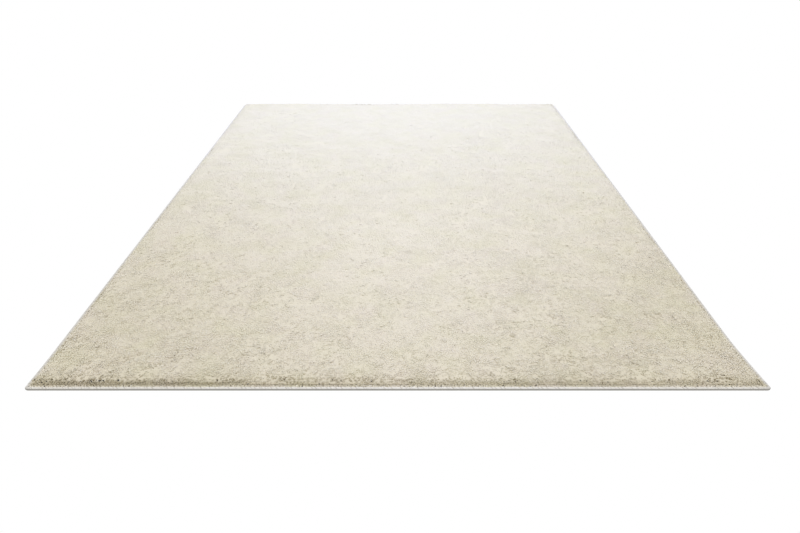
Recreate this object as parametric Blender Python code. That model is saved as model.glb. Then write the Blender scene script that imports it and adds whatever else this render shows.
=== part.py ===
"""A rectangular shag rug, lying flat.

Cream pile stands in a thin ground cloth. The pile is one lumpy mass with locks round
its rim. The ground cloth's pressed rim sits in a slot of the whipped binding, which
runs round all four sides in four strips.

Metres, +Z up. The rug lies on z = 0 with its long sides along Y, and the origin is the
middle of its underside. An inset is a distance inwards from the binding's outer edge.
"""

import math

import bmesh
import bpy
import numpy as np

# The whole rug, over its binding.
WIDTH = 1.60
LENGTH = 2.30
CORNER_RADIUS = 0.009
CLEARANCE = 0.0003

# The binding's section.
BINDING_WIDTH = 0.008
BINDING_HEIGHT = 0.0065
FOOT_INSET = 0.0014  # where its flat underside begins
SLOT_INSET = 0.0032  # where the slot for the cloth ends
LOWER_LIP = 0.0009  # thickness of the yarn that passes under the cloth
ROUND_BACK = (
    # inset, share of the height
    (0.0003, 0.20),
    (0.0000, 0.46),
    (0.0005, 0.74),
    (0.0019, 0.94),
    (0.0040, 1.00),
    (0.0061, 0.94),
    (0.0075, 0.77),
)

# The binding's lengthwise sections.
CORNER_STEPS = 5
CORNER_RETURN = 0.010  # how far the front and back strips run on past their corners
SECTION_LENGTH = 0.060
BINDING_UNEVEN = 0.0003  # how much lower its back may be

# The ground cloth.
BACKING_THICKNESS = 0.003
RIM_UNDERSIDE = LOWER_LIP + CLEARANCE  # the pressed rim lies on the binding's lower lip
CLOTH_TOP = BACKING_THICKNESS + CLEARANCE  # the underside of what lies on the cloth

# The pile: a grid of cells on top, and a rim with three short steps to each cell.
CELLS_X = 40
CELLS_Y = 58
RIM_SPLITS = 3
PILE_TOP = 0.0198  # mean height of the pile's surface
CELL_SHIFT = 0.006  # how far a point of the grid may stray sideways
CLUMP_HEIGHT = 0.0027  # how far it may stray up or down

# The pile's slope from its foot up to its crown: inset, height, corner radius, and the
# share of the lumps that the level follows.
FOOT = (BINDING_WIDTH + CLEARANCE, CLOTH_TOP, 0.006, 0.0)
SHOULDER = (0.0125, 0.0095, 0.010, 0.3)
BROW = (0.0190, 0.0175, 0.016, 0.8)
CROWN_INSET = 0.0320

# The lumps of the surface: length of each wave, its heading, its height and its start.
WAVES = (
    # length, heading in degrees, height, start in turns
    (0.730, 22.0, 0.0007, 0.10),
    (0.460, 118.0, 0.0009, 0.35),
    (0.310, 64.0, 0.0008, 0.80),
    (0.215, 151.0, 0.0009, 0.55),
    (0.150, 38.0, 0.0008, 0.20),
    (0.112, 97.0, 0.0008, 0.65),
)

# The locks at the rim.
ROOT_SHARE = 0.84  # a root's width, as a share of the rim's even step
LOCK_REACH = (0.0100, 0.0132)  # shortest and longest, measured outwards
LOCK_RISE = (0.0010, 0.0036)  # its bend stands this far above its root
LOCK_DROOP = (0.0005, 0.0048)  # and its tip hangs this far below it
LOCK_LEAN = 0.0070  # furthest that a tip leans along the edge
LOCK_BEND_AT = 0.50  # where along the lock its bend is
LOCK_TAPER = 0.50  # its width at the bend, as a share of the root's
LOCK_LOWEST = BINDING_HEIGHT + 0.001  # tips stay this high, clear of the binding

PILE_COLOUR = (0.76, 0.71, 0.61)
BACKING_COLOUR = (0.62, 0.56, 0.46)
BINDING_COLOUR = (0.80, 0.77, 0.70)
YARN_ROUGHNESS = 0.95

SEED = 41


def clear_scene():
    """Removes every object, so that only the rug is in the file."""
    for old in list(bpy.data.objects):
        bpy.data.objects.remove(old, do_unlink=True)


def yarn_material(name, colour):
    """A plain matt yarn or cloth."""
    material = bpy.data.materials.new(name)
    material.use_nodes = True
    shader = material.node_tree.nodes["Principled BSDF"]
    shader.inputs["Base Color"].default_value = (*colour, 1.0)
    shader.inputs["Roughness"].default_value = YARN_ROUGHNESS
    shader.inputs["Metallic"].default_value = 0.0
    return material


def add_piece(name, bm, material, sharp_degrees):
    """Makes an object of a bmesh, with its faces outwards and its round parts smooth."""
    bmesh.ops.recalc_face_normals(bm, faces=bm.faces[:])
    mesh = bpy.data.meshes.new(name)
    bm.to_mesh(mesh)
    bm.free()
    mesh.shade_smooth()
    mesh.set_sharp_from_angle(angle=math.radians(sharp_degrees))
    mesh.materials.append(material)
    piece = bpy.data.objects.new(name, mesh)
    bpy.context.collection.objects.link(piece)
    return piece


def join_rings(bm, lower, upper):
    """Closes the band between two rings whose point counts are equal or one a multiple
    of the other: each step of the coarse ring takes as many of the fine ring's."""
    steps = min(len(lower), len(upper))
    low_each = len(lower) // steps
    up_each = len(upper) // steps
    faces = []
    for step in range(steps):
        low = [lower[(step * low_each + k) % len(lower)] for k in range(low_each + 1)]
        up = [upper[(step * up_each + k) % len(upper)] for k in range(up_each + 1)]
        faces.append(bm.faces.new(low + up[::-1]))
    return faces


# ---- the ground cloth ----


def corner_rounded_ring(inset, radius):
    """Points round a rectangle with arcs at its corners, anticlockwise from the front
    right corner."""
    middle_x = WIDTH / 2 - inset - radius
    middle_y = LENGTH / 2 - inset - radius
    points = []
    for quarter, (side_x, side_y) in enumerate(((1, -1), (1, 1), (-1, 1), (-1, -1))):
        for step in range(CORNER_STEPS + 1):
            turn = math.pi / 2 * (quarter - 1 + step / CORNER_STEPS)
            x = side_x * middle_x + radius * math.cos(turn)
            y = side_y * middle_y + radius * math.sin(turn)
            points.append((x, y))
    return points


def build_backing(material):
    """A flat cloth whose rim is pressed thinner from below, to fit the binding's slot."""
    body_inset = BINDING_WIDTH + CLEARANCE
    rim_inset = SLOT_INSET + CLEARANCE
    levels = (
        # inset, height
        (body_inset, 0.0),
        (body_inset, RIM_UNDERSIDE),
        (rim_inset, RIM_UNDERSIDE),
        (rim_inset, BACKING_THICKNESS),
    )
    bm = bmesh.new()
    rings = []
    for inset, height in levels:
        outline = corner_rounded_ring(inset, CORNER_RADIUS - inset)
        rings.append([bm.verts.new((x, y, height)) for x, y in outline])
    for lower, upper in zip(rings, rings[1:]):
        join_rings(bm, lower, upper)
    bm.faces.new(rings[0][::-1])
    bm.faces.new(rings[-1])
    return add_piece("backing", bm, material, 40)


# ---- the binding ----


def binding_profile():
    """The binding's section as (inset, height): its foot, its round back, the lip over
    the cloth, and the slot that the cloth's rim sits in."""
    back = [(inset, share * BINDING_HEIGHT) for inset, share in ROUND_BACK]
    slot = [
        (BINDING_WIDTH, CLOTH_TOP),
        (SLOT_INSET, CLOTH_TOP),
        (SLOT_INSET, LOWER_LIP),
        (BINDING_WIDTH, LOWER_LIP),
        (BINDING_WIDTH, 0.0),
    ]
    return [(FOOT_INSET, 0.0)] + back + slot


def even_steps(start, end):
    """Places from start to end, about a section's length apart."""
    count = max(2, round(abs(end - start) / SECTION_LENGTH))
    return [start + (end - start) * step / count for step in range(count + 1)]


def front_stations():
    """The front strip's line, as (x, y, inward x, inward y): up the left side's end,
    round the corner, along the front, round the other corner."""
    edge_x = WIDTH / 2
    edge_y = LENGTH / 2
    end_y = -edge_y + CORNER_RADIUS + CORNER_RETURN
    middle_x = edge_x - CORNER_RADIUS
    middle_y = -edge_y + CORNER_RADIUS
    stations = [(-edge_x, end_y, 1.0, 0.0)]
    for side, first_turn in ((-1, math.pi), (1, 1.5 * math.pi)):
        for step in range(CORNER_STEPS + 1):
            turn = first_turn + math.pi / 2 * step / CORNER_STEPS
            out_x = math.cos(turn)
            out_y = math.sin(turn)
            x = side * middle_x + CORNER_RADIUS * out_x
            y = middle_y + CORNER_RADIUS * out_y
            stations.append((x, y, -out_x, -out_y))
        if side < 0:
            for x in even_steps(-middle_x, middle_x)[1:-1]:
                stations.append((x, -edge_y, 0.0, 1.0))
    stations.append((edge_x, end_y, -1.0, 0.0))
    return stations


def right_stations():
    """The right strip's line, between the ends of the front and back strips."""
    end_y = LENGTH / 2 - CORNER_RADIUS - CORNER_RETURN - CLEARANCE
    return [(WIDTH / 2, y, -1.0, 0.0) for y in even_steps(-end_y, end_y)]


def turned_round(stations):
    """The same line on the opposite side of the rug."""
    return [(-x, -y, -in_x, -in_y) for x, y, in_x, in_y in stations]


def build_binding(name, stations, material, rng):
    """Carries the binding's section along a line of stations, its back sagging a little
    more or less at each."""
    bm = bmesh.new()
    sections = []
    for x, y, in_x, in_y in stations:
        sag = rng.uniform(0.0, BINDING_UNEVEN)
        section = []
        for inset, height in binding_profile():
            if height > CLOTH_TOP:
                height -= sag
            section.append(bm.verts.new((x + inset * in_x, y + inset * in_y, height)))
        sections.append(section)
    for near, far in zip(sections, sections[1:]):
        join_rings(bm, near, far)
    bm.faces.new(sections[0])
    bm.faces.new(sections[-1][::-1])
    return add_piece(name, bm, material, 50)


# ---- the pile ----


def surface_lumps(x, y):
    """How far the pile's surface is above its mean height: the sum of the waves."""
    height = np.zeros_like(x)
    for length, heading, rise, start in WAVES:
        turn = math.radians(heading)
        along = x * math.cos(turn) + y * math.sin(turn)
        height += rise * np.sin(2 * math.pi * (along / length + start))
    return height


def rim_points(level, splits):
    """Points round the pile at one level of its slope, anticlockwise from the front left
    corner, with so many splits to each cell. Corners are rounded by drawing a square
    in to a circle, and the odd points draw back to narrow the roots of the locks."""
    inset, _, radius, _ = level
    half_x = WIDTH / 2 - inset
    half_y = LENGTH / 2 - inset
    sides = []
    for half_run, half_off, cells in ((half_x, half_y, CELLS_X), (half_y, half_x, CELLS_Y)):
        step = np.arange(cells * splits, dtype=float)
        if splits > 1:
            step -= (1 - ROOT_SHARE) * (step % 2)
        run = -half_run + 2 * half_run * step / (cells * splits)
        sides.append((run, np.full_like(run, half_off)))
    front = np.column_stack([sides[0][0], -sides[0][1]])
    right = np.column_stack([sides[1][1], sides[1][0]])
    points = np.vstack([front, right, -front, -right])
    corner = np.array([half_x - radius, half_y - radius])
    over = np.abs(points) - corner
    at_corner = (over > 0).all(axis=1)
    drawn_in = over[at_corner]
    drawn_in *= (drawn_in.max(axis=1) / np.linalg.norm(drawn_in, axis=1))[:, None]
    points[at_corner] = np.sign(points[at_corner]) * (corner + drawn_in)
    return points


def add_rim_ring(bm, level, splits, rng):
    """One ring of the pile's slope, at its level's height and share of the lumps."""
    _, height, _, share = level
    points = rim_points(level, splits)
    lift = surface_lumps(points[:, 0], points[:, 1])
    lift += rng.uniform(-CLUMP_HEIGHT, CLUMP_HEIGHT, len(points))
    heights = height + share * lift
    return [bm.verts.new((x, y, z)) for (x, y), z in zip(points, heights)]


def add_crown(bm, rng):
    """The pile's top: a grid of points that stray from an even net, with lumps."""
    half_x = WIDTH / 2 - CROWN_INSET
    half_y = LENGTH / 2 - CROWN_INSET
    x, y = np.meshgrid(
        np.linspace(-half_x, half_x, CELLS_X + 1),
        np.linspace(-half_y, half_y, CELLS_Y + 1),
    )
    inner = np.zeros_like(x)
    inner[1:-1, 1:-1] = 1.0
    x += inner * rng.uniform(-CELL_SHIFT, CELL_SHIFT, x.shape)
    y += inner * rng.uniform(-CELL_SHIFT, CELL_SHIFT, y.shape)
    z = PILE_TOP + surface_lumps(x, y)
    z += rng.uniform(-CLUMP_HEIGHT, CLUMP_HEIGHT, x.shape)
    net = [[bm.verts.new(point) for point in zip(*row)] for row in zip(x, y, z)]
    for low, high in zip(net, net[1:]):
        for k in range(CELLS_X):
            bm.faces.new((low[k], low[k + 1], high[k + 1], high[k]))
    front = net[0][:-1]
    right = [row[-1] for row in net[:-1]]
    back = net[-1][:0:-1]
    left = [row[0] for row in net[:0:-1]]
    return front + right + back + left


def grow_lock(bm, root, rng):
    """Draws a lock out of one face of the rim: out and up to its bend, where it is
    narrower, then out and down to a point."""
    middle = root.calc_center_median()
    out = root.normal.copy()
    out.z = 0.0
    out.normalize()
    along = out.cross((0.0, 0.0, 1.0))
    reach = rng.uniform(*LOCK_REACH)
    lean = rng.uniform(-LOCK_LEAN, LOCK_LEAN)
    bend = middle + (out * reach + along * lean) * LOCK_BEND_AT
    bend.z += rng.uniform(*LOCK_RISE)
    tip = middle + out * reach + along * lean
    tip.z = max(tip.z - rng.uniform(*LOCK_DROOP), LOCK_LOWEST)
    drawn = bmesh.ops.extrude_discrete_faces(bm, faces=[root])["faces"]
    for vert in drawn[0].verts:
        vert.co = bend + (vert.co - middle) * LOCK_TAPER
    point = bmesh.ops.poke(bm, faces=drawn)["verts"][0]
    point.co = tip


def build_pile(material, rng):
    """The lumpy mass of the pile, from its flat underside up its slope to the crown,
    with a lock on every other face of the upper slope."""
    bm = bmesh.new()
    foot = add_rim_ring(bm, FOOT, 1, rng)
    shoulder = add_rim_ring(bm, SHOULDER, RIM_SPLITS, rng)
    brow = add_rim_ring(bm, BROW, RIM_SPLITS, rng)
    crown = add_crown(bm, rng)
    join_rings(bm, foot, shoulder)
    upper_slope = join_rings(bm, shoulder, brow)
    join_rings(bm, brow, crown)
    bm.faces.new(foot[::-1])
    bmesh.ops.recalc_face_normals(bm, faces=bm.faces[:])
    for root in upper_slope[::2]:
        grow_lock(bm, root, rng)
    return add_piece("pile", bm, material, 60)


def build_rug():
    """All the pieces of the rug, where they lie."""
    rng = np.random.default_rng(SEED)
    build_backing(yarn_material("backing_cloth", BACKING_COLOUR))
    build_pile(yarn_material("pile_yarn", PILE_COLOUR), rng)
    whipping = yarn_material("binding_yarn", BINDING_COLOUR)
    strips = (
        ("binding_front", front_stations()),
        ("binding_right", right_stations()),
        ("binding_back", turned_round(front_stations())),
        ("binding_left", turned_round(right_stations())),
    )
    for name, stations in strips:
        build_binding(name, stations, whipping, rng)


clear_scene()
build_rug()
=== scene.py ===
"""Looks of a cream shag rug that lies flat on a pale floor.

The pile is about 140 thousand bent locks of yarn, standing in a lumpy body of
closer yarn. Below it lies the woven ground cloth, and whipped strips bind its edge.

Metres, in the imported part's own frame. An inset is a distance inwards from the
binding's outer edge. Every surface is worked out as whole arrays.
"""

import math

import bpy
import numpy as np
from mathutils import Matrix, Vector


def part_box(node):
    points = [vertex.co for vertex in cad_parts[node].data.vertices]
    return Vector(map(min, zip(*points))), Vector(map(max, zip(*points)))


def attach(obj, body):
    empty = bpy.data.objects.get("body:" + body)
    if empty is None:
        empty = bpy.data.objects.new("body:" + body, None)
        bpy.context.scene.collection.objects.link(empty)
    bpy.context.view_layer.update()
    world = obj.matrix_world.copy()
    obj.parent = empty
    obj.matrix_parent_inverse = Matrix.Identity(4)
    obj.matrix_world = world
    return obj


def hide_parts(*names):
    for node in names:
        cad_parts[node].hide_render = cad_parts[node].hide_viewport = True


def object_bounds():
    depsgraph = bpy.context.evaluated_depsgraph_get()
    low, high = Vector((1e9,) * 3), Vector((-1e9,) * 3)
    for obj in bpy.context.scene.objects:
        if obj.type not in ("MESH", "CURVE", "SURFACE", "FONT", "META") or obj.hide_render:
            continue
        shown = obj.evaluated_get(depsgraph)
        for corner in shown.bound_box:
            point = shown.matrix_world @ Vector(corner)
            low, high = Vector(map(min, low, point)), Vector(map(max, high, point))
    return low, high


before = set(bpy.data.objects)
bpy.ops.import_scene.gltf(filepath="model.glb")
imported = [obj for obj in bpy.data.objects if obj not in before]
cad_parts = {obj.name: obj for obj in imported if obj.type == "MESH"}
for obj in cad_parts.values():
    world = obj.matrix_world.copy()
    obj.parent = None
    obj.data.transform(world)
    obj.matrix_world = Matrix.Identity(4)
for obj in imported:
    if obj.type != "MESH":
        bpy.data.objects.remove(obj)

# ---- sizes, from the frame ----

CAD_LOW, CAD_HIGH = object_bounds()
HALF_X = CAD_HIGH.x
HALF_Y = CAD_HIGH.y
CLOTH_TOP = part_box("backing")[1].z
PILE_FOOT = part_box("pile")[0].z
BINDING_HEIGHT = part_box("binding_right")[1].z
BINDING_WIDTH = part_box("binding_right")[1].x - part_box("binding_right")[0].x
GAP = PILE_FOOT - CLOTH_TOP

CORNER_RADIUS = 0.009  # of the binding's outer edge
CORNER_RETURN = 0.010  # how far the front and back strips run past their corners
SMALLEST_RADIUS = 0.003  # of an inner line's corner

CORNER_PULLS = (
    # side, how far out its front corner is pulled, how far back that is felt
    (1, 0.0125, 0.20),
    (-1, 0.0030, 0.12),
)
PULL_FADE = 1.5  # the power by which a pull fades backwards
PULL_SPREAD = 4  # and the power by which it grows towards the corner's side

# ---- the pile's surface ----

PILE_TOP = 0.0204  # mean height of the locks' tips
WAVES = (
    # length, heading in degrees, height, start in turns
    (0.730, 22.0, 0.0007, 0.10),
    (0.460, 118.0, 0.0009, 0.35),
    (0.310, 64.0, 0.0008, 0.80),
    (0.215, 151.0, 0.0007, 0.55),
    (0.150, 38.0, 0.0006, 0.20),
    (0.112, 97.0, 0.0005, 0.65),
)
CLUMPS = (
    # height, size of a cell, seed
    (0.0009, 0.062, 11),
    (0.0009, 0.027, 12),
    (0.0011, 0.010, 13),
)
FRONT_UNEVENNESS = 1.05  # of the pile at its front edge
CALM_SHARE = 1.03  # how much of that is gone far from the front edge
CALM_REACH = 0.95  # how far back most of it is gone
CALM_MIDDLE = 0.30  # how much calmer the middle line is
CALM_WIDTH = 0.40  # how far out from that line it is calmer
RIM_DROP = 0.0070  # how much lower the pile is at its outermost roots
RIM_ROUND = 0.0080  # how far in the drop is felt
SIDE_DROP = 0.5  # how much more it drops at the rug's two sides
SIDE_BLEND = 0.02  # how wide the change from an end's drop to a side's is
SWIRLS = (
    # share of a half turn, size of a cell, seed
    (1.1, 0.34, 21),
    (0.6, 0.085, 22),
    (0.5, 0.020, 23),
)
RUFFLES = ((0.9, 0.050, 27),)  # how far the ruffled patches swing, their size, seed

# ---- the locks ----

LOCKS_ACROSS = 300
LOCK_ROWS = 430  # a multiple of the number of pieces
LOCK_PIECES = 5
ROOT_STRAY = 0.48  # how far a root may stray, in steps of the net
LOCK_START = 0.0124  # inset of the outermost roots
LOCK_DEPTH = 0.0095  # root below the surface
LOCK_LOWEST = PILE_FOOT + 0.0008
BELLY_DEPTH = (0.0008, 0.0018)  # a lock's thickest place, below the surface
BELLY_RADIUS = (0.0028, 0.0037)
TIP_DEPTH = (-0.0006, 0.0008)  # its tip, below the surface
ROUGH_PATCHES = ((0.6, 0.055, 25),)  # how much rougher patches are, their size, seed
HEADING_STRAY = 0.9  # how far a lock's heading strays from the pile's, in radians
LAY = (0.0008, 0.0030)  # how far a tip lies from over its root
LONG_LAY = (0.0040, 0.0090)  # the same, of a lock that has fallen over
LONG_SHARE = 0.06
CALM_LAY = 0.35  # how much of its lay a lock keeps where the pile is calm
BELLY_SHARE = 0.30  # how much of its lay a lock has at its belly
EDGE_REACH = 0.006  # how far in the edge's own lean is felt
EDGE_TURN = 0.8  # how much of the pile's lean is gone at the edge
EDGE_LEAN = 0.0012  # how far the outermost tips lean outwards
TOLERANCE = 0.0001
PIT_SHARE = 0.26  # of the locks, where low ones are most common
PIT_PATCHINESS = 3  # the power by which they keep to the ruffled patches
PIT_GROWTH = 0.08  # how often a low lock's neighbour is low too
PIT_DEPTH = (0.0012, 0.0034)  # how much lower they are
PIT_SHADE = 1.10  # how much darker the lowest are painted, as painted shade in their hollows
PIT_INSET = LOCK_START + 0.006  # of the outermost low locks and creases
FRONT_PITS = 0.25  # share of low locks among the outermost at the front
FRONT_SHADE = 0.33  # how much darker the outermost there are painted, as painted shade on the pile's front face
FRONT_REACH = 0.010  # how far back both are felt
FRONT_LEFT = 0.8  # how much stronger both are at the left end
FRONT_PATCHES = (
    # how much stronger both are in patches, their size, seed
    (0.6, 0.075, 30),
    (0.5, 0.020, 32),
)
NEAR_SHADE = 0.09  # how much darker the middle of the front is painted, as painted shade
NEAR_REACH = 0.080  # how far back
NEAR_WIDTH = 0.50  # and how far to each side
CREASES = ((1.0, 0.045, 26),)  # a crease runs where this is near 0
CREASE_WIDTH = 0.10
CREASE_DEPTH = 0.0007
LOCK_TONE = 0.96
TONE_STRAY = 0.03
TONE_PATCHES = (
    # how much lighter patches are, their size, seed
    (0.05, 0.009, 28),
    (0.03, 0.022, 29),
)
RIM_TIERS = (
    # inset and height of the roots, of the tips, how much both stray, belly radius, tone; the tone
    # is painted light on the two lowest tiers and painted shade on the upper ones
    (0.0092, 0.0036, 0.0062, 0.0077, 0.0004, 0.0026, 1.08),
    (0.0098, 0.0042, 0.0055, 0.0083, 0.0006, 0.0028, 1.11),
    (0.0106, 0.0044, 0.0069, 0.0094, 0.0007, 0.0030, 0.87),
    (0.0118, 0.0052, 0.0085, 0.0107, 0.0011, 0.0029, 0.81),
    (0.0134, 0.0070, 0.0106, 0.0128, 0.0013, 0.0028, 0.77),
    (0.0150, 0.0090, 0.0126, 0.0152, 0.0014, 0.0028, 0.76),
)
RIM_PITCH = 0.0038
RIM_STRAY = 0.0010  # how far a root strays along the edge
RIM_SLANT = (0.0032, 0.0024)  # how far on along the edge a tip lies, and its stray
RIM_HEIGHT_STRAY = 0.8  # how much a tip's height strays, as a share of its tier's stray
RIM_PATCHES = ((1.0, 0.045, 41),)  # where tips are higher and lighter
RIM_PATCH_TONE = 0.05
RIM_TONE_STRAY = (0.94, 1.04)
RIM_BELLY = (0.5, 0.72)  # share of its lean and of its rise that a lock has at its belly
RADIUS_STRAY = (0.8, 1.2)
LEFT_SHADE = 0.15  # how much darker the front's upper tiers are painted at its left end, as painted shade
UPPER_TIERS = 0.009  # the tips' height above which a tier is an upper one
FACING = 0.5  # how squarely a place faces the front to count as the front's
SIDE_LEAN = 0.3  # how much of their lean the tiers have at the rug's two sides
SIDE_RISE = 0.5  # how much of their rise they have there
SIDE_LIGHT = 0.20  # how much lighter the outermost locks are painted there, as painted light where they lie in shade
SIDE_REACH = 0.006  # how far in

# ---- loose locks that lie across the pile ----

LOOSE_TRIES = 12000
LOOSE_INSET = 0.030
LOOSE_LENGTH = (0.008, 0.017)
LOOSE_RADIUS = (0.0011, 0.0016)
LOOSE_ROOT = 0.0030  # its root, below the surface
LOOSE_RISE = 0.0006  # its belly, above the surface
LOOSE_STRAY = 0.5  # how far its heading strays from the pile's, in radians
LOOSE_TONE = 1.03
LOOSE_TONE_STRAY = 0.05

# ---- the body under the locks ----

BODY_CELL = 0.014
BODY_DEPTH = 0.0022  # its top, below the locks' tips, where the pile is uneven
BODY_PATCHES = ((0.0006, 0.016, 31),)  # how much deeper it is in patches, size, seed
BODY_INSET = 0.0112

# ---- the ground cloth and the binding ----

CLOTH_PITCH = 0.02  # between the points round its rim
STITCH_PITCH = 0.0036
STITCH_STRAY = 0.00016  # how far a stitch strays along the edge
STITCH_RIDGE = 0.00050  # how far a groove lies below a stitch
GROOVE_STRAY = (0.8, 1.2)
GROOVE_ROUGH = 0.00025  # how far any place may lie in
STITCH_SLANT = -0.0070  # how far a stitch runs on along the edge as it crosses it
STRIP_PROFILE = (
    # inset, height, how much of the ridge shows there
    (0.0016, 0.0000, 0.0),
    (0.0004, 0.0014, 0.8),
    (0.0000, 0.0031, 1.0),
    (0.0006, 0.0049, 1.0),
    (0.0021, 0.0061, 1.0),
    (0.0041, 0.0068, 1.0),
    (0.0062, 0.0069, 1.0),
    (0.0077, 0.0059, 0.8),
    (0.0080, 0.0036, 0.2),
    (0.0080, 0.0000, 0.0),
)

# ---- the light ----

SKY = 1.05
FLOOR_GLOW = (1.05, 0.99, 0.90)  # what the rug's edges get from the floor
FLOOR_SIZE = 60.0
FLOOR_DROP = 0.0002  # how far the floor lies below the rug
LAMPS = (
    # name, width, place, aim, spread in degrees, watts, colour
    ("far", 1.6, (0.0, 0.2, 3.0), (0.0, 1.4, 0.0), 80.0, 15.2, (0.46, 0.59, 1.0)),
    ("near", 0.5, (0.05, -0.70, 1.2), (0.05, -0.70, 0.0), 80.0, 0.9, (0.56, 0.64, 1.0)),
)
LAMP_DEPTH = 0.9
HORIZON = -0.03  # the sky's lowest height, on a sphere of radius 1

# ---- the camera: where it stands and what it sees, from the rug's outline ----

CAMERA_AT = (0.0137, -2.3024, 0.9282)
CAMERA_PITCH = 28.386  # degrees below the horizon
CAMERA_LENS = 30.348  # on a sensor 36 mm wide
CAMERA_SHIFT = -0.0025  # of the picture's width
SENSOR = 36.0
CAMERA_FAR = 200.0  # how far it sees

SEED = 7


# ---- noise and places ----


def smooth_noise(x, y, cell, seed):
    """Values from -1 to 1 drawn at the corners of square cells and blended across each
    cell by the smooth step 3t^2 - 2t^3 in both directions."""
    rng = np.random.default_rng(seed)
    across = int(2 * HALF_X / cell) + 4
    along = int(2 * HALF_Y / cell) + 4
    corners = rng.uniform(-1, 1, (across, along))
    u = np.clip((x + HALF_X) / cell + 1, 0, across - 1.001)
    v = np.clip((y + HALF_Y) / cell + 1, 0, along - 1.001)
    i = u.astype(int)
    j = v.astype(int)
    s = u - i
    t = v - j
    s = s * s * (3 - 2 * s)
    t = t * t * (3 - 2 * t)
    near = corners[i, j] * (1 - s) + corners[i + 1, j] * s
    far = corners[i, j + 1] * (1 - s) + corners[i + 1, j + 1] * s
    return near * (1 - t) + far * t


def patchy(x, y, patches):
    """The sum of several smooth noises, each with its height, its cells' size and a seed."""
    return sum(height * smooth_noise(x, y, cell, seed) for height, cell, seed in patches)


def inset_of(x, y):
    """How far each point is from the rug's outer edge, inwards: the distance to a
    rectangle with rounded corners."""
    over_x = np.abs(x) - (HALF_X - CORNER_RADIUS)
    over_y = np.abs(y) - (HALF_Y - CORNER_RADIUS)
    outside = np.hypot(np.maximum(over_x, 0), np.maximum(over_y, 0))
    inside = np.minimum(np.maximum(over_x, over_y), 0)
    return CORNER_RADIUS - outside - inside


def unevenness(x, y):
    """How uneven the pile is at a place. It falls from the front edge backwards as
    exp(-distance / CALM_REACH), and it is less in the middle than at the sides, as
    exp(-(x / CALM_WIDTH)^2)."""
    gone = 1 - np.exp(-(y + HALF_Y) / CALM_REACH)
    middle = np.exp(-((x / CALM_WIDTH) ** 2))
    return (FRONT_UNEVENNESS - CALM_SHARE * gone) * (1 - CALM_MIDDLE * middle)


def side_share(x, y):
    """1 where one of the rug's two sides is its nearest edge, and 0 where an end is."""
    return np.clip((HALF_Y - np.abs(y) - HALF_X + np.abs(x)) / SIDE_BLEND, 0, 1)


def pile_surface(x, y):
    """Height of the pile's surface: its mean, the waves, three sizes of clump, and a
    drop at the outermost roots that fades inwards as exp(-distance / RIM_ROUND). The
    drop is deeper where a side's edge is nearer than an end's."""
    height = np.full_like(x, PILE_TOP)
    for length, heading, rise, start in WAVES:
        turn = math.radians(heading)
        along = x * math.cos(turn) + y * math.sin(turn)
        height += rise * np.sin(2 * math.pi * (along / length + start))
    height += unevenness(x, y) * patchy(x, y, CLUMPS)
    from_rim = np.maximum(inset_of(x, y) - LOCK_START, 0)
    drop = RIM_DROP * (1 + SIDE_DROP * side_share(x, y))
    return height - drop * np.exp(-from_rim / RIM_ROUND)


def pile_heading(x, y):
    """Which way the pile lies at a place, as an angle: three sizes of slow swirl."""
    return math.pi * patchy(x, y, SWIRLS)


def ruffled(x, y):
    """Where the pile is ruffled, from 0 to 1, in patches."""
    return np.clip(0.5 + patchy(x, y, RUFFLES), 0, 1)


def pulled(points):
    """Points moved as the rug lies: each front corner is pulled out along x, by a share
    that fades backwards as (1 - distance / reach)^1.5 and grows outwards as (x / half)^4."""
    moved = np.array(points, float)
    for side, out, reach in CORNER_PULLS:
        back = np.clip(1 - (points[:, 1] + HALF_Y) / reach, 0, 1) ** PULL_FADE
        across = np.maximum(side * points[:, 0] / HALF_X, 0) ** PULL_SPREAD
        moved[:, 0] += side * out * back * across
    return moved


# ---- meshes from arrays ----


def new_piece(name, points, triangles, finish):
    """A smooth mesh object of an array of points and an array of triangles."""
    mesh = bpy.data.meshes.new(name)
    mesh.vertices.add(len(points))
    mesh.vertices.foreach_set("co", np.ascontiguousarray(points, np.float32).ravel())
    mesh.loops.add(triangles.size)
    mesh.loops.foreach_set("vertex_index", triangles.astype(np.int32).ravel())
    mesh.polygons.add(len(triangles))
    mesh.polygons.foreach_set("loop_start", np.arange(0, triangles.size, 3, dtype=np.int32))
    mesh.update(calc_edges=True)
    mesh.shade_smooth()
    mesh.materials.append(finish)
    piece = bpy.data.objects.new(name, mesh)
    bpy.context.collection.objects.link(piece)
    return piece


def add_values(piece, name, values):
    """Gives each point of a piece one number, for its material to read."""
    attribute = piece.data.attributes.new(name, "FLOAT", "POINT")
    attribute.data.foreach_set("value", np.ascontiguousarray(values, np.float32).ravel())


def add_map(piece, corners):
    """Gives each corner of a piece's triangles its place on the flat map."""
    layer = piece.data.uv_layers.new(name="OFBake")
    layer.uv.foreach_set("vector", np.ascontiguousarray(corners, np.float32).ravel())


def quads(a, b, c, d):
    """Two triangles for each row of four corners."""
    first = np.stack([a, b, c], axis=-1).reshape(-1, 3)
    second = np.stack([a, c, d], axis=-1).reshape(-1, 3)
    return np.stack([first, second], axis=1).reshape(-1, 3)


# ---- locks of yarn ----

LOCK_POINTS = 5
SIDES = np.arange(3)
RING = SIDES + 1
NEXT = (SIDES + 1) % 3 + 1
LOCK_TRIANGLES = np.concatenate(
    [
        np.stack([NEXT, RING, np.zeros(3, int)], axis=-1),
        np.stack([RING, NEXT, np.full(3, 4)], axis=-1),
    ]
)
ALONG = np.array([0.0, 0.75, 0.75, 0.75, 1.0])  # each point's place, from root to tip
UNEVEN_WAY = np.array([0.31, 0.83, 0.46])  # a way along which no lock runs
MAP_WAIST = 0.4  # of a lock's cell on the map, the height of its belly
MAP_MARGIN = 0.08  # of the cell, kept clear all round


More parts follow.
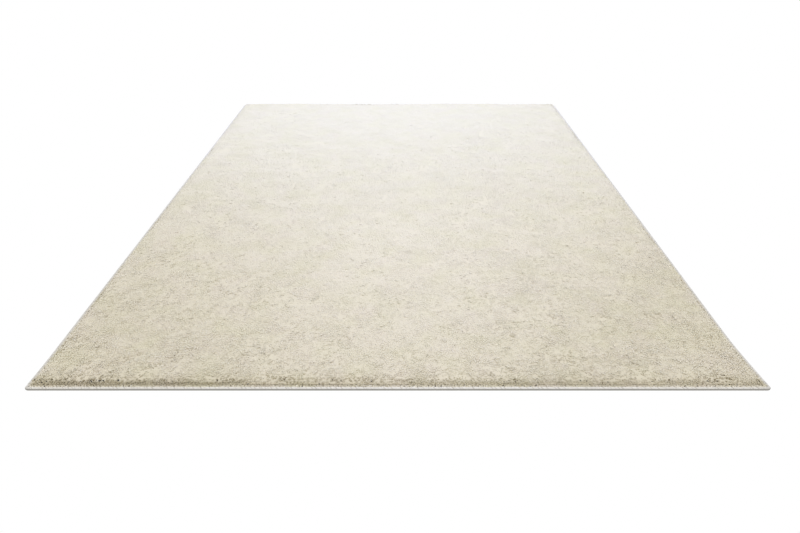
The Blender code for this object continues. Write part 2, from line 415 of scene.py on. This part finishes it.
def lock_map():
    """The corners of one lock's triangles on its own cell of the map: its three sides
    side by side, the lower parts below and the tips above."""
    left = SIDES / 3
    right = (SIDES + 1) / 3
    middle = (left + right) / 2
    waist = np.full(3, MAP_WAIST)
    lower = np.stack([[right, waist], [left, waist], [middle, 0 * left]])
    upper = np.stack([[left, waist], [right, waist], [middle, 0 * left + 1]])
    corners = np.concatenate([lower.transpose(2, 0, 1), upper.transpose(2, 0, 1)])
    return MAP_MARGIN + (1 - 2 * MAP_MARGIN) * corners


def lock_points(root, belly, tip, radius, twist):
    """Each lock's root, three points round its belly, and its tip. The ring stands square
    to the line from root to tip, turned by the twist."""
    line = tip - root
    line /= np.linalg.norm(line, axis=1)[:, None]
    across = np.cross(line, UNEVEN_WAY)
    across /= np.linalg.norm(across, axis=1)[:, None]
    other = np.cross(line, across)
    turn = twist[:, None] + SIDES * 2 * math.pi / 3
    ring = np.cos(turn)[..., None] * across[:, None] + np.sin(turn)[..., None] * other[:, None]
    ring = belly[:, None] + ring * radius[:, None, None]
    return np.concatenate([root[:, None], ring, tip[:, None]], axis=1)


def lock_piece(name, points, tone, finish):
    """One piece of many locks, with each point's place along its lock, each lock's own
    tone, which carries painted shade and painted light too, and a map on which every lock has a
    small cell to itself."""
    count = len(points)
    starts = np.arange(count)[:, None, None] * LOCK_POINTS
    triangles = (LOCK_TRIANGLES + starts).reshape(-1, 3)
    piece = new_piece(name, pulled(points.reshape(-1, 3)), triangles, finish)
    add_values(piece, "along", np.tile(ALONG, count))
    add_values(piece, "tone", np.repeat(tone, LOCK_POINTS))
    cells = math.ceil(math.sqrt(count))
    cell = np.stack([np.arange(count) % cells, np.arange(count) // cells], axis=-1)
    add_map(piece, (lock_map() + cell[:, None, None]) / cells)
    return piece


def pile_locks(finish):
    """The locks of the whole pile. Roots lie on a net and stray from it. Each lock leans
    the way that the pile lies there, which swirls slowly over the rug, and near the edge
    it leans outwards. Its tip lies on the pile's surface. Some patches are rougher."""
    rng = np.random.default_rng(SEED)
    half_x = HALF_X - LOCK_START
    half_y = HALF_Y - LOCK_START
    step_x = 2 * half_x / LOCKS_ACROSS
    step_y = 2 * half_y / LOCK_ROWS
    shape = (LOCK_ROWS, LOCKS_ACROSS)
    column = np.arange(LOCKS_ACROSS) + 0.5 + rng.uniform(-ROOT_STRAY, ROOT_STRAY, shape)
    row = np.arange(LOCK_ROWS)[:, None] + 0.5 + rng.uniform(-ROOT_STRAY, ROOT_STRAY, shape)
    x = (-half_x + step_x * column).ravel()
    y = (-half_y + step_y * row).ravel()
    count = len(x)
    inset = inset_of(x, y)
    uneven = unevenness(x, y)
    rough = uneven * (1 + patchy(x, y, ROUGH_PATCHES))
    heading = pile_heading(x, y) + rng.normal(0, HEADING_STRAY, count) * rough
    fallen = rng.random(count) < LONG_SHARE * rough
    lay = np.where(fallen, rng.uniform(*LONG_LAY, count), rng.uniform(*LAY, count))
    lay *= CALM_LAY + (1 - CALM_LAY) * uneven
    lean = lay[:, None] * np.stack([np.cos(heading), np.sin(heading)], axis=-1)
    # Near the edge the lean turns outwards, and stops short of the binding's outer side.
    outward = np.stack(
        [
            np.sign(x) * (HALF_X - np.abs(x) < inset + TOLERANCE),
            np.sign(y) * (HALF_Y - np.abs(y) < inset + TOLERANCE),
        ],
        axis=-1,
    )
    near_edge = np.exp(-np.maximum(inset - LOCK_START, 0) / EDGE_REACH)[:, None]
    lean = lean * (1 - EDGE_TURN * near_edge) + outward * EDGE_LEAN * near_edge
    tip_x = x + lean[:, 0]
    tip_y = y + lean[:, 1]
    zone = ruffled(x, y)
    pitted = (rng.random(count) < PIT_SHARE * uneven * zone**PIT_PATCHINESS).reshape(shape)
    for axis in (0, 1):
        pitted |= np.roll(pitted, 1, axis) & (rng.random(shape) < PIT_GROWTH)
    crease = np.abs(patchy(x, y, CREASES)) < CREASE_WIDTH * zone
    inner = inset > PIT_INSET
    front = np.exp(-(y + HALF_Y - LOCK_START) / FRONT_REACH)
    front *= 1 + patchy(x, y, FRONT_PATCHES)
    front *= 1 + FRONT_LEFT * np.maximum(-x / HALF_X, 0)
    near = np.exp(-(y + HALF_Y) / NEAR_REACH - (x / NEAR_WIDTH) ** 2)
    pitted = pitted.ravel() & inner | (rng.random(count) < FRONT_PITS * front)
    low = np.maximum(rng.uniform(*PIT_DEPTH, count) * pitted, CREASE_DEPTH * crease * inner)
    surface = pile_surface(x, y) - low
    tip_surface = pile_surface(tip_x, tip_y) - low
    root = np.stack([x, y, np.maximum(surface - LOCK_DEPTH, LOCK_LOWEST)], axis=-1)
    belly = np.stack(
        [
            x + BELLY_SHARE * lean[:, 0],
            y + BELLY_SHARE * lean[:, 1],
            surface - rng.uniform(*BELLY_DEPTH, count) * rough,
        ],
        axis=-1,
    )
    tip = np.stack([tip_x, tip_y, tip_surface - rng.uniform(*TIP_DEPTH, count) * rough], axis=-1)
    radius = rng.uniform(*BELLY_RADIUS, count)
    points = lock_points(root, belly, tip, radius, rng.uniform(0, 2 * math.pi, count))
    tone = rng.uniform(-TONE_STRAY, TONE_STRAY, count) + patchy(x, y, TONE_PATCHES)
    # Painted shade: low locks and creases are painted darker, the lower the darker.
    tone -= PIT_SHADE * low / PIT_DEPTH[1]
    # Painted shade along the front edge and over the middle of the front.
    tone = LOCK_TONE + uneven * tone - FRONT_SHADE * front - NEAR_SHADE * near
    # Painted light on the outermost locks at the rug's two sides.
    tone += SIDE_LIGHT * side_share(x, y) * np.exp(-(inset - LOCK_START) / SIDE_REACH)
    each = count // LOCK_PIECES
    return [
        lock_piece(
            f"pile_locks_{k + 1}",
            points[k * each : (k + 1) * each],
            tone[k * each : (k + 1) * each],
            finish,
        )
        for k in range(LOCK_PIECES)
    ]


def outline_places(inset, pitch):
    """Places about a pitch apart round the rug at an inset, with the way out at each:
    the four sides as straight lines and the corners as arcs."""
    radius = max(CORNER_RADIUS - inset, SMALLEST_RADIUS)
    run_x = 2 * (HALF_X - inset - radius)
    run_y = 2 * (HALF_Y - inset - radius)
    arc = math.pi / 2 * radius
    total = 2 * (run_x + run_y) + 4 * arc
    at = np.linspace(0, total, int(total / pitch), endpoint=False)
    x = np.zeros_like(at)
    y = np.zeros_like(at)
    out = np.zeros((len(at), 2))
    begin = 0.0
    for quarter, run in enumerate((run_x, run_y, run_x, run_y)):
        turn = math.pi / 2 * (quarter - 1)
        away = np.array([math.cos(turn), math.sin(turn)])
        onward = np.array([-away[1], away[0]])
        other = run_y if quarter % 2 == 0 else run_x
        here = (at >= begin) & (at < begin + run)
        middle = away * (other / 2 + radius)
        place = middle + onward * (at[here] - begin - run / 2)[:, None]
        x[here], y[here] = place.T
        out[here] = away
        begin += run
        here = (at >= begin) & (at < begin + arc)
        bent = turn + (at[here] - begin) / radius
        centre = away * other / 2 + onward * run / 2
        out[here] = np.stack([np.cos(bent), np.sin(bent)], axis=-1)
        x[here], y[here] = (centre + radius * out[here]).T
        begin += arc
    return x, y, out


def rim_locks(finish):
    """The outermost locks, in tiers, whose sides are the pile's face above the binding.
    They lean out over the binding's inner side, the lowest tiers the furthest. At the
    rug's two sides they are lower and more upright."""
    rng = np.random.default_rng(SEED + 1)
    made = []
    tones = []
    for root_inset, root_height, tip_inset, tip_height, stray, belly_radius, tone in RIM_TIERS:
        x, y, out = outline_places(root_inset, RIM_PITCH)
        count = len(x)
        along = np.stack([-out[:, 1], out[:, 0]], axis=-1)
        place = np.stack([x, y], axis=-1) + along * rng.normal(0, RIM_STRAY, count)[:, None]
        side = np.abs(out[:, 0])
        reach = (root_inset - tip_inset) * (1 - (1 - SIDE_LEAN) * side)
        lean = out * (reach + rng.normal(0, stray, count))[:, None]
        lean += along * rng.normal(*RIM_SLANT, count)[:, None]
        patch = patchy(x, y, RIM_PATCHES)
        height = tip_height + stray * (rng.normal(0, RIM_HEIGHT_STRAY, count) + patch)
        height -= (1 - SIDE_RISE) * side * (tip_height - root_height)
        root = np.column_stack([place, np.full(count, root_height)])
        belly = root + np.column_stack([RIM_BELLY[0] * lean, RIM_BELLY[1] * (height - root_height)])
        tip = np.column_stack([place + lean, height])
        radius = belly_radius * rng.uniform(*RADIUS_STRAY, count)
        made.append(lock_points(root, belly, tip, radius, rng.uniform(0, 2 * math.pi, count)))
        # Painted shade on the front's upper tiers, stronger towards its left end.
        upper_front = (out[:, 1] < -FACING) * (tip_height > UPPER_TIERS)
        left = np.maximum(-x / HALF_X, 0) * upper_front
        # The shift adds painted light at the rug's two sides and painted shade at the front's left
        # end.
        shift = RIM_PATCH_TONE * patch + SIDE_LIGHT * side - LEFT_SHADE * left
        tones.append(tone * rng.uniform(*RIM_TONE_STRAY, count) + shift)
    return lock_piece("pile_rim_locks", np.concatenate(made), np.concatenate(tones), finish)


def loose_locks(finish):
    """Slender locks lying across the pile where it is ruffled. Each comes up from a root
    just below the surface, lies over its neighbours and dips to its tip."""
    rng = np.random.default_rng(SEED + 2)
    x = rng.uniform(-1, 1, LOOSE_TRIES) * (HALF_X - LOOSE_INSET)
    y = rng.uniform(-1, 1, LOOSE_TRIES) * (HALF_Y - LOOSE_INSET)
    kept = rng.random(LOOSE_TRIES) < unevenness(x, y) * ruffled(x, y)
    x = x[kept]
    y = y[kept]
    count = len(x)
    heading = pile_heading(x, y) + rng.normal(0, LOOSE_STRAY, count)
    run = rng.uniform(*LOOSE_LENGTH, count) * np.stack([np.cos(heading), np.sin(heading)])
    root = np.stack([x, y, pile_surface(x, y) - LOOSE_ROOT], axis=-1)
    middle = np.array([x, y]) + 0.5 * run
    belly = np.stack([*middle, pile_surface(*middle) + LOOSE_RISE], axis=-1)
    end = np.array([x, y]) + run
    tip = np.stack([*end, pile_surface(*end)], axis=-1)
    radius = rng.uniform(*LOOSE_RADIUS, count)
    points = lock_points(root, belly, tip, radius, rng.uniform(0, 2 * math.pi, count))
    tone = LOOSE_TONE + rng.uniform(-LOOSE_TONE_STRAY, LOOSE_TONE_STRAY, count)
    return lock_piece("pile_loose_locks", points, tone, finish)


# ---- the pile's body ----


def pile_body(finish):
    """The closer yarn below the locks, as one closed form: a net of points that follows
    the pile's surface at a depth, a wall round it, and a flat underside made of long
    strips from side to side."""
    half_x = HALF_X - BODY_INSET
    half_y = HALF_Y - BODY_INSET
    across = round(2 * half_x / BODY_CELL)
    along = round(2 * half_y / BODY_CELL)
    y, x = np.meshgrid(
        np.linspace(-half_y, half_y, along + 1),
        np.linspace(-half_x, half_x, across + 1),
        indexing="ij",
    )
    depth = unevenness(x, y) * (BODY_DEPTH + patchy(x, y, BODY_PATCHES))
    top = np.stack([x, y, pile_surface(x, y) - depth], axis=-1).reshape(-1, 3)
    index = np.arange((along + 1) * (across + 1)).reshape(along + 1, across + 1)
    net = quads(index[:-1, :-1], index[:-1, 1:], index[1:, 1:], index[1:, :-1])
    front, right = index[0, :-1], index[:-1, -1]
    back, left = index[-1, :0:-1], index[:0:-1, 0]
    ring = np.concatenate([front, right, back, left])
    foot = top[ring].copy()
    foot[:, 2] = PILE_FOOT
    low = len(top) + np.arange(len(ring))
    wall = quads(low, np.roll(low, -1), np.roll(ring, -1), ring)
    low_front = low[: across + 1]
    low_right = low[across : across + along + 1]
    low_back = low[across + along : 2 * across + along + 1][::-1]
    low_left = np.append(low[2 * across + along :], low[0])[::-1]
    strips = quads(low_left[1:-2], low_left[2:-1], low_right[2:-1], low_right[1:-2])
    half = across // 2
    ends = []
    for edge, left_end, right_end, flip in (
        (low_front, low_left[1], low_right[1], False),
        (low_back, low_left[-2], low_right[-2], True),
    ):
        fans = [
            np.stack([edge[:half], np.full(half, left_end), edge[1 : half + 1]], axis=-1),
            np.array([[edge[half], left_end, right_end]]),
            np.stack(
                [edge[half:-1], np.full(across - half, right_end), edge[half + 1 :]], axis=-1
            ),
        ]
        fan = np.concatenate(fans)
        ends.append(fan[:, ::-1] if flip else fan)
    triangles = np.concatenate([net, wall, strips, *ends])
    return new_piece("pile_body", pulled(np.concatenate([top, foot])), triangles, finish)


# ---- the ground cloth ----


def ground_cloth(finish):
    """The woven cloth: rings of points at its rim's corners, below and above, with its
    middle closed by a fan to one point on each side."""
    inset = BINDING_WIDTH + GAP
    levels = ((inset, 0.0), (inset, CLOTH_TOP))
    rings = []
    for level_inset, height in levels:
        x, y, _ = outline_places(level_inset, CLOTH_PITCH)
        rings.append(np.stack([x, y, np.full_like(x, height)], axis=-1))
    count = len(rings[0])
    low = np.arange(count)
    high = low + count
    points = np.concatenate([*rings, [[0, 0, 0], [0, 0, CLOTH_TOP]]])
    wall = quads(low, np.roll(low, -1), np.roll(high, -1), high)
    under = np.stack([np.roll(low, -1), low, np.full(count, 2 * count)], axis=-1)
    over = np.stack([high, np.roll(high, -1), np.full(count, 2 * count + 1)], axis=-1)
    return new_piece("ground_cloth", pulled(points), np.concatenate([wall, under, over]), finish)


# ---- the whipped binding ----


def strip_line(corners):
    """The line of a strip's outer edge as a function of the distance along it, giving
    place and the way in: straight, or with a rounded corner and a return at each end."""
    if corners:
        run = 2 * (HALF_X - CORNER_RADIUS)
        arc = math.pi / 2 * CORNER_RADIUS
        total = 2 * (CORNER_RETURN + arc) + run
    else:
        total = 2 * (HALF_Y - CORNER_RADIUS - CORNER_RETURN - GAP)

    def place(along):
        if not corners:
            flat = np.zeros_like(along)
            return HALF_X + flat, along - total / 2, flat - 1, flat
        turned = np.clip(along - CORNER_RETURN, 0, arc) / CORNER_RADIUS
        turned = turned + np.clip(along - CORNER_RETURN - arc - run, 0, arc) / CORNER_RADIUS
        straight = np.clip(along - CORNER_RETURN - arc, 0, run) - run / 2
        down = np.minimum(along, CORNER_RETURN)
        up = np.maximum(along - CORNER_RETURN - 2 * arc - run, 0)
        out_x = -np.cos(turned)
        out_y = -np.sin(turned)
        x = straight + CORNER_RADIUS * out_x
        y = -HALF_Y + CORNER_RADIUS + CORNER_RADIUS * out_y + (CORNER_RETURN - down) + up
        return x, y, -out_x, -out_y

    return place, total


def whipped_strip(name, corners, turned_round, finish):
    """A strip of the binding: its profile carried along its line, drawn in by a groove
    between every two stitches. A point's place along the line runs on with its inset, so
    the stitches cross the edge at a slant."""
    rng = np.random.default_rng(SEED + len(name))
    place, total = strip_line(corners)
    stitches = round(total / STITCH_PITCH)
    sections = 2 * stitches + 1
    inset, height, ridged = (np.array(column) for column in zip(*STRIP_PROFILE))
    at = np.linspace(0, total, sections)
    at[1:-1] += rng.normal(0, STITCH_STRAY, sections - 2)
    groove = STITCH_RIDGE * (np.arange(sections) % 2) * rng.uniform(*GROOVE_STRAY, sections)
    groove = groove + GROOVE_ROUGH * rng.random(sections)
    middle = np.array([0.5 * BINDING_WIDTH, 0.5 * BINDING_HEIGHT])
    section = np.stack([inset, height], axis=-1)
    drawn = section - middle
    drawn = drawn / np.linalg.norm(drawn, axis=1)[:, None]
    pull = groove[:, None] * ridged
    inset = inset - pull * drawn[:, 0]
    height = height - pull * drawn[:, 1]
    fade = np.minimum(np.minimum(at, total - at) / abs(2 * STITCH_SLANT), 1)
    slant = STITCH_SLANT * (inset / BINDING_WIDTH - 0.5) * fade[:, None]
    x, y, in_x, in_y = place(np.clip(at[:, None] + slant, 0, total))
    points = np.stack([x + inset * in_x, y + inset * in_y, height], axis=-1)
    if turned_round:
        points = points * np.array([-1, -1, 1])
    round_count = points.shape[1]
    index = np.arange(points.shape[0] * round_count).reshape(-1, round_count)
    after = np.roll(index, -1, axis=1)
    sides = quads(index[:-1], index[1:], after[1:], after[:-1])
    first, last = index[0], index[-1]
    fan = np.arange(1, round_count - 1)
    start = np.stack([np.full(len(fan), first[0]), first[fan], first[fan + 1]], axis=-1)
    end = np.stack([np.full(len(fan), last[0]), last[fan + 1], last[fan]], axis=-1)
    triangles = np.concatenate([sides, start, end])
    piece = new_piece(name, pulled(points.reshape(-1, 3)), triangles, finish)
    add_values(piece, "run", np.repeat(at, round_count))
    return piece


# ---- finishes ----


class Value:
    """An output of a shader node. Sums and products of two, or of one and a number, add
    a Math node."""

    def __init__(self, tree, socket):
        self.tree = tree
        self.socket = socket

    def math(self, operation, first, second):
        node = self.tree.nodes.new("ShaderNodeMath")
        node.operation = operation
        for place, value in zip(node.inputs, (first, second)):
            if isinstance(value, Value):
                self.tree.links.new(value.socket, place)
            else:
                place.default_value = value
        return Value(self.tree, node.outputs[0])

    def __add__(self, other):
        return self.math("ADD", self, other)

    def __sub__(self, other):
        return self.math("SUBTRACT", self, other)

    def __rsub__(self, other):
        return self.math("SUBTRACT", other, self)

    def __mul__(self, other):
        return self.math("MULTIPLY", self, other)

    def __pow__(self, other):
        return self.math("POWER", self, other)

    __radd__ = __add__
    __rmul__ = __mul__


class Finish:
    """A material whose nodes are added one by one."""

    def __init__(self, name):
        self.material = bpy.data.materials.new(name)
        self.material.use_nodes = True
        self.tree = self.material.node_tree
        self.shader = self.tree.nodes["Principled BSDF"]

    def node(self, kind, settings=None, output=0, **values):
        """Adds a node of a kind, with its settings, and its sockets' values or links, and
        gives one of its outputs. A socket's name has _ for each space."""
        made = self.tree.nodes.new(kind)
        for name, value in (settings or {}).items():
            setattr(made, name, value)
        for name, value in values.items():
            self.fill(made.inputs[name.replace("_", " ")], value)
        return Value(self.tree, made.outputs[output])

    def fill(self, place, value):
        """Links or sets one socket."""
        if isinstance(value, Value):
            self.tree.links.new(value.socket, place)
        elif isinstance(value, tuple) and len(value) == 3 and place.type == "RGBA":
            place.default_value = (*value, 1.0)
        else:
            place.default_value = value

    def set(self, **values):
        """Links or sets sockets of the material's shader."""
        for name, value in values.items():
            self.fill(self.shader.inputs[name.replace("_", " ")], value)

    def place(self):
        """The point on the piece, in metres."""
        return self.node("ShaderNodeTexCoord", output="Object")

    def noise(self, scale, detail=2.0, roughness=0.5):
        """Soft noise from 0 to 1 over the piece, with so many waves to the metre."""
        return self.node(
            "ShaderNodeTexNoise",
            Vector=self.place(),
            Scale=scale,
            Detail=detail,
            Roughness=roughness,
        )

    def attribute(self, name):
        """One number of the piece's own."""
        return self.node("ShaderNodeAttribute", {"attribute_name": name}, output="Fac")

    def blend(self, mask, first, second, how="MIX"):
        """Two colours blended by a mask."""
        made = self.tree.nodes.new("ShaderNodeMix")
        made.data_type = "RGBA"
        made.blend_type = how
        made.clamp_factor = True
        self.fill(made.inputs[0], mask)
        self.fill(made.inputs[6], first)
        self.fill(made.inputs[7], second)
        return Value(self.tree, made.outputs[2])

    def scaled(self, colour, value):
        """A colour made lighter or darker by a number."""
        grey = self.node("ShaderNodeCombineColor", Red=value, Green=value, Blue=value)
        return self.blend(1.0, colour, grey, "MULTIPLY")

    def shaded(self, colour, value):
        """A colour made darker by a number below 1, and browner as it darkens."""
        brown = self.node(
            "ShaderNodeCombineColor", Red=value, Green=value**1.12, Blue=value**1.45
        )
        return self.blend(1.0, colour, brown, "MULTIPLY")

    def span(self, value, start, end):
        """0 where a value is at or below start, and 1 where it is at or above end."""
        return self.node(
            "ShaderNodeMapRange", {"clamp": True}, Value=value, From_Min=start, From_Max=end
        )

    def bump(self, height, distance, strength=1.0, **normal):
        """A normal tilted by a height from 0 to 1, over that distance."""
        return self.node(
            "ShaderNodeBump", Height=height, Distance=distance, Strength=strength, **normal
        )


PATCH_WAVES = 24.0  # waves to the metre, here and below
TINT_WAVES = 13.0
MOTTLE_WAVES = 46.0
STRAND_WAVES = 150.0
FIBRE_WAVES = 520.0
WHIPPING_FIBRE_WAVES = 700.0
STITCH_TONE_WAVES = 250.0
CLOTH_TONE_WAVES = 30.0
CLOTH_RIBS = 95.0
FIBRE_DEPTH = 0.0006
RIB_DEPTH = 0.0008
TIP_POWER = 1.2  # the power by which a lock turns from its root's colour, a painted shade, to its tip's
STRAND_SHARE = 0.6  # how far the body's strands reach from the root's colour to the tip's
BODY_LIGHT = 0.90
LIGHT_SWING = 0.04  # how much mottles and fibres each lighten the yarn
SOILED_FROM, SOILED_TO = 0.52, 0.70  # of the stitches' own tone
SOILED_SHARE = 0.65
SIDES_GREY = 0.84

CREAM_TIP = (0.787, 0.739, 0.619)
WARM_TIP = (0.795, 0.729, 0.628)
STRAW_TIP = (0.771, 0.730, 0.564)
# The roots' colours are painted shade: a lock is painted darker towards its root, and darker and
# browner still towards the pile's foot.
CREAM_ROOT_PAINTED_SHADE = (0.743, 0.682, 0.544)
DEEP_ROOT_PAINTED_SHADE = (0.500, 0.410, 0.262)
ROOTS_LIT = 0.012  # the height from which roots are no longer painted with deep shade
CLOTH_DARK = (0.56, 0.49, 0.38)
CLOTH_LIGHT = (0.68, 0.61, 0.50)
WHIPPING_DARK = (0.79, 0.75, 0.69)
WHIPPING_LIGHT = (0.83, 0.805, 0.75)
WHIPPING_SOILED = (0.40, 0.36, 0.30)
# Painted shade low on the binding's edge.
WHIPPING_PAINTED_SHADE = (0.30, 0.295, 0.275)
PAINTED_SHADE_FADE = (0.0045, 0.0057)  # the heights between which the painted shade low on the edge fades out
GREY_INSETS = (0.014, 0.006)  # where the sides' grey begins and is full


def pile_finish(name, lock):
    """Matt cream yarn. It is painted darker towards each lock's root as painted shade, each lock
    has its own tone, which also carries painted shade and painted light, and soft patches are
    warmer or more like straw. Deep in the pile it is painted brown as painted shade. Fine
    fibres tilt its surface."""
    made = Finish(name)
    patches = made.noise(PATCH_WAVES)
    tints = made.noise(TINT_WAVES)
    mottles = made.noise(MOTTLE_WAVES)
    fibres = made.noise(FIBRE_WAVES, 3.0, 0.6)
    height = made.node("ShaderNodeSeparateXYZ", Vector=made.place(), output="Z")
    # Painted shade: the roots' colour darkens and browns towards the pile's foot.
    depth = made.span(height, PILE_FOOT, ROOTS_LIT)
    tip = made.blend(patches * 3.0 - 1.1, CREAM_TIP, WARM_TIP)
    tip = made.blend(tints * 3.6 - 1.5, tip, STRAW_TIP)
    root = made.blend(depth, DEEP_ROOT_PAINTED_SHADE, CREAM_ROOT_PAINTED_SHADE)
    if lock:
        tone = made.attribute("tone")
        # Painted shade: each lock is painted darker from its tip down to its root.
        colour = made.blend(made.attribute("along") ** TIP_POWER, root, tip)
        light = tone + mottles * LIGHT_SWING - LIGHT_SWING / 2
    else:
        colour = made.blend(made.noise(STRAND_WAVES) * STRAND_SHARE, root, tip)
        light = BODY_LIGHT + mottles * LIGHT_SWING
    colour = made.shaded(colour, light + fibres * LIGHT_SWING - LIGHT_SWING)
    made.set(
        Base_Color=colour,
        Roughness=0.95,
        Sheen_Weight=0.3,
        Sheen_Roughness=0.5,
        Normal=made.bump(fibres, FIBRE_DEPTH, 0.3),
    )
    return made.material


def cloth_finish():
    """Plain woven ground cloth: two sets of ribs at right angles, one over the other."""
    made = Finish("backing_cloth")
    waves = [
        made.node(
            "ShaderNodeTexWave",
            {"bands_direction": way, "wave_profile": "SIN"},
            Vector=made.place(),
            Scale=CLOTH_RIBS,
            Distortion=0.6,
            Detail=1.0,
            output="Fac",
        )
        for way in ("X", "Y")
    ]
    weave = waves[0] * waves[1]
    tone = made.noise(CLOTH_TONE_WAVES, 3.0)
    colour = made.blend(tone, CLOTH_DARK, CLOTH_LIGHT)
    made.set(
        Base_Color=made.scaled(colour, 0.8 + weave * 0.3),
        Roughness=0.95,
        Normal=made.bump(weave, RIB_DEPTH),
    )
    return made.material


def binding_finish():
    """Off-white whipping yarn: a little shine, fine fibres, a soiled spot here and there,
    greyer along the rug's two sides, and painted shade low on the edge."""
    made = Finish("binding_yarn")
    fibres = made.noise(WHIPPING_FIBRE_WAVES, 3.0, 0.6)
    stitches = made.node(
        "ShaderNodeTexNoise",
        {"noise_dimensions": "1D"},
        W=made.attribute("run"),
        Scale=STITCH_TONE_WAVES,
        Detail=1.0,
    )
    soiled = made.span(stitches, SOILED_FROM, SOILED_TO)
    height = made.node("ShaderNodeSeparateXYZ", Vector=made.place(), output="Z")
    # Painted shade low on the edge, fading out upwards.
    clear_of_painted_shade = made.span(height, *PAINTED_SHADE_FADE)
    across = made.node("ShaderNodeSeparateXYZ", Vector=made.place(), output="X")
    grey_start, grey_full = ((HALF_X - inset) ** 2 for inset in GREY_INSETS)
    sides = made.span(across * across, grey_start, grey_full)
    colour = made.blend(stitches, WHIPPING_DARK, WHIPPING_LIGHT)
    colour = made.blend(soiled * SOILED_SHARE, colour, WHIPPING_SOILED)
    colour = made.blend(sides, colour, made.scaled(colour, SIDES_GREY))
    colour = made.blend(clear_of_painted_shade, WHIPPING_PAINTED_SHADE, colour)
    made.set(
        Base_Color=made.scaled(colour, 0.94 + fibres * 0.10),
        Roughness=0.8,
        Sheen_Weight=0.2,
        Normal=made.bump(fibres, FIBRE_DEPTH, 0.6),
    )
    return made.material


# ---- floor, light and camera ----


def plain_floor():
    """A wide white floor that glows evenly and lights nothing."""
    made = Finish("floor")
    made.set(Base_Color=(0.0, 0.0, 0.0), Roughness=1.0, Specular_IOR_Level=0.0)
    made.set(Emission_Color=(1.0, 1.0, 1.0), Emission_Strength=1.0)
    made.material.cycles.emission_sampling = "NONE"
    corners = np.array([(-1, -1, 0), (1, -1, 0), (1, 1, 0), (-1, 1, 0)])
    points = FLOOR_SIZE * corners - np.array([0, 0, FLOOR_DROP])
    floor = new_piece("floor", points, np.array([[0, 1, 2], [0, 2, 3]]), made.material)
    floor.visible_diffuse = False
    floor.visible_glossy = False


def soft_light():
    """An even white sky over the rug, a warm glow as bright from below it, a wide cool
    lamp for its far part, and a weak one over its near part."""
    world = bpy.data.worlds.new("studio")
    world.use_nodes = True
    bpy.context.scene.world = world
    tree = world.node_tree
    way = tree.nodes.new("ShaderNodeTexCoord")
    height = tree.nodes.new("ShaderNodeSeparateXYZ")
    above = tree.nodes.new("ShaderNodeMath")
    above.operation = "GREATER_THAN"
    above.inputs[1].default_value = HORIZON
    tree.links.new(way.outputs["Generated"], height.inputs[0])
    tree.links.new(height.outputs["Z"], above.inputs[0])
    halves = tree.nodes.new("ShaderNodeMix")
    halves.data_type = "RGBA"
    halves.inputs[6].default_value = (*FLOOR_GLOW, 1.0)
    halves.inputs[7].default_value = (SKY, SKY, SKY, 1.0)
    tree.links.new(above.outputs[0], halves.inputs[0])
    tree.links.new(halves.outputs[2], tree.nodes["Background"].inputs["Color"])
    for name, width, at, aim, spread, watts, colour in LAMPS:
        light = bpy.data.lights.new(name, "AREA")
        light.shape = "RECTANGLE"
        light.size = width
        light.size_y = LAMP_DEPTH
        light.spread = math.radians(spread)
        light.energy = watts
        light.color = colour
        lamp = bpy.data.objects.new(name, light)
        lamp.location = at
        lamp.rotation_euler = (Vector(aim) - Vector(at)).to_track_quat("-Z", "Y").to_euler()
        lamp.visible_camera = False
        bpy.context.collection.objects.link(lamp)


def camera():
    """The camera in front of the rug, looking straight along it and down."""
    data = bpy.data.cameras.new("camera")
    data.lens = CAMERA_LENS
    data.sensor_width = SENSOR
    data.shift_x = CAMERA_SHIFT
    data.clip_end = CAMERA_FAR
    made = bpy.data.objects.new("camera", data)
    made.location = CAMERA_AT
    made.rotation_euler = (math.radians(90 - CAMERA_PITCH), 0, 0)
    bpy.context.collection.objects.link(made)
    bpy.context.scene.camera = made


# ---- the whole ----


def dress(piece, slot, *nodes):
    """Fixes a piece to the rug and hides the nodes it stands for. The slot is not used."""
    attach(piece, "root")
    if nodes:
        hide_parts(*nodes)
    return piece


def build():
    """Makes every piece and fixes it to the frame."""
    lock_yarn = pile_finish("pile_yarn", True)
    body_yarn = pile_finish("pile_body_yarn", False)
    whipping = binding_finish()
    pieces = [dress(piece, "pile_yarn") for piece in pile_locks(lock_yarn)]
    pieces.append(dress(rim_locks(lock_yarn), "pile_yarn"))
    pieces.append(dress(loose_locks(lock_yarn), "pile_yarn"))
    pieces.append(dress(pile_body(body_yarn), "pile_yarn", "pile"))
    for side, corners, turned_round in (
        ("front", True, False),
        ("right", False, False),
        ("back", True, True),
        ("left", False, True),
    ):
        strip = whipped_strip(f"whipped_{side}", corners, turned_round, whipping)
        pieces.append(dress(strip, "binding_yarn", f"binding_{side}"))
    cloth = dress(ground_cloth(cloth_finish()), "backing_cloth", "backing")


build()
plain_floor()
soft_light()
camera()
bpy.context.scene.view_settings.view_transform = "Standard"
